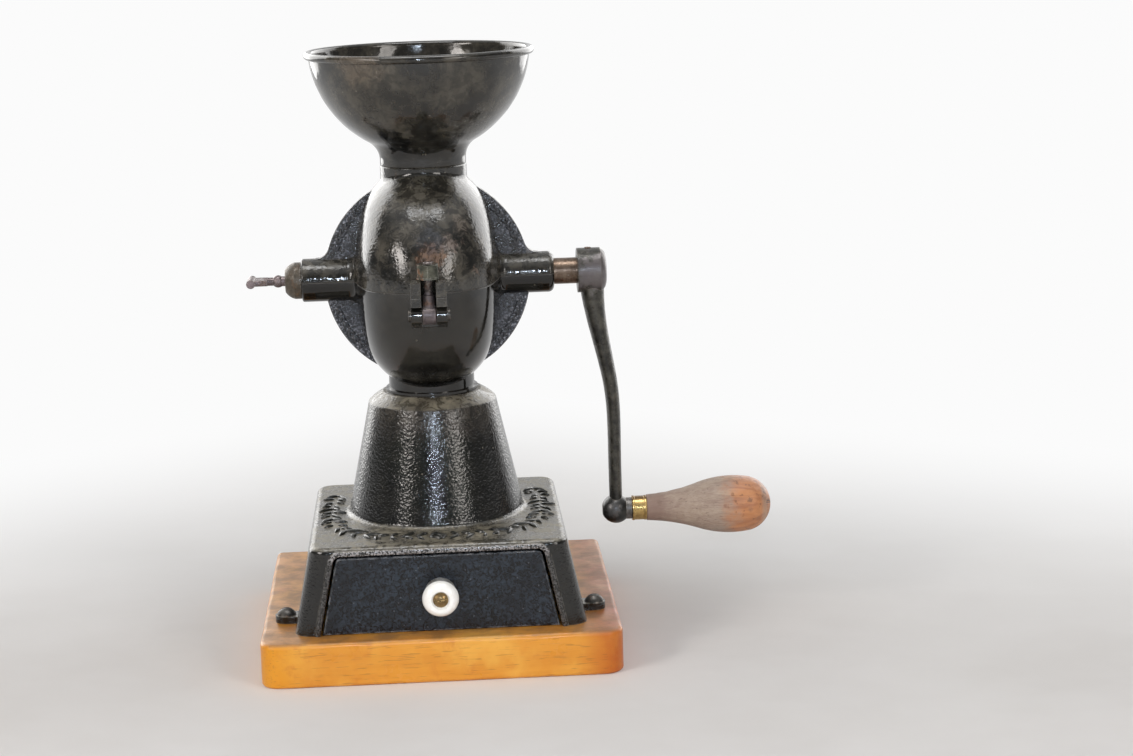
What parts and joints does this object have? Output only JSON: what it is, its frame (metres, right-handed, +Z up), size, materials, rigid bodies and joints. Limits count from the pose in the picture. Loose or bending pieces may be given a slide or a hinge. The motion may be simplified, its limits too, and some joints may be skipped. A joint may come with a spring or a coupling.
{
  "type": "manual coffee grinder",
  "caption": "Hand cranked coffee grinder with a bowl hopper, a split grinding case held by a swing bolt, a hollow foot with a sliding drawer and a wooden board.",
  "frame": {"origin": "centre of the wooden board's underside", "axes": "+Z up, +X towards the crank along the spindle, -Y towards the front, where the drawer pulls out"},
  "size_m": [0.3029, 0.2049, 0.3456],
  "materials": {
    "varnished_board": "glossy amber varnish over fine grain",
    "japanned_iron": "glossy black japan, chipped and worn in places",
    "dark_steel": "dark oxidised steel",
    "rusty_steel": "brown rust over steel",
    "bare_iron": "bare grey casting",
    "worn_iron": "dark worn iron, browned by use",
    "weathered_wood": "grey brown bare wood with remains of an orange varnish",
    "brass": "dull polished brass",
    "painted_sheet": "blue black paint, matte and mottled",
    "porcelain": "glossy white glaze"
  },
  "bodies": {
    "base": {"wood_board": "varnished_board", "base_housing": "japanned_iron", "board_screws": "dark_steel", "lower_casing": "japanned_iron", "upper_casing": "japanned_iron", "hopper": "japanned_iron", "casing_bolts": "dark_steel", "hinge_pin": "dark_steel", "swing_bolt_pin": "dark_steel", "stationary_burr": "bare_iron", "burr_screws": "dark_steel", "adjuster_plug": "rusty_steel"},
    "clamp_bolt": {"swing_bolt": "rusty_steel"},
    "washer": {"clamp_washer": "rusty_steel"},
    "nut": {"clamp_nut": "rusty_steel"},
    "button": {"thrust_pad": "dark_steel"},
    "adjuster": {"thumb_screw": "rusty_steel"},
    "crank": {"spindle": "rusty_steel", "feed_worm": "bare_iron", "rotating_burr": "bare_iron", "worm_pin": "dark_steel", "burr_pin": "dark_steel", "crank_arm": "worn_iron", "crank_pin": "rusty_steel", "handle_spindle": "dark_steel"},
    "handle": {"wooden_handle": "weathered_wood", "ferrule": "brass", "handle_nail": "dark_steel"},
    "drawer": {"drawer_tray": "painted_sheet", "drawer_front": "painted_sheet", "drawer_knob": "porcelain", "knob_plate": "painted_sheet", "knob_screw": "brass", "knob_washer": "dark_steel", "knob_nut": "dark_steel"}
  },
  "joints": [
    {"name": "clamp_swing", "type": "hinge", "parent": "base", "child": "clamp_bolt", "pos_m": [0, -0.075, 0.2035], "axis": [1, 0, 0], "range_deg": [0, 105]},
    {"name": "washer_lift", "type": "slide", "parent": "clamp_bolt", "child": "washer", "axis": [0, 0, 1], "range_m": [0, 0.003]},
    {"name": "nut_turn", "type": "hinge", "parent": "washer", "child": "nut", "pos_m": [0, -0.075, 0.228], "axis": [0, 0, 1], "range_deg": [0, 1090]},
    {"name": "grind_setting", "type": "slide", "parent": "base", "child": "button", "axis": [1, 0, 0], "range_m": [-0.0012, 0.0006]},
    {"name": "screw_turn", "type": "hinge", "parent": "button", "child": "adjuster", "pos_m": [-0.09, 0, 0.214], "axis": [1, 0, 0], "range_deg": [-440, 220]},
    {"name": "crank_turn", "type": "hinge", "parent": "button", "child": "crank", "pos_m": [0, 0, 0.214], "axis": [-1, 0, 0], "continuous": true},
    {"name": "handle_turn", "type": "hinge", "parent": "crank", "child": "handle", "pos_m": [0.15, 0, 0.07], "axis": [1, 0, 0], "continuous": true},
    {"name": "drawer_slide", "type": "slide", "parent": "base", "child": "drawer", "axis": [0, -1, 0], "range_m": [0, 0.13]}
  ],
  "couplings": [
    {"joint": "screw_turn", "follows": "grind_setting", "rad_per_m": 6283.2},
    {"joint": "nut_turn", "follows": "washer_lift", "rad_per_m": 6283.2}
  ]
}
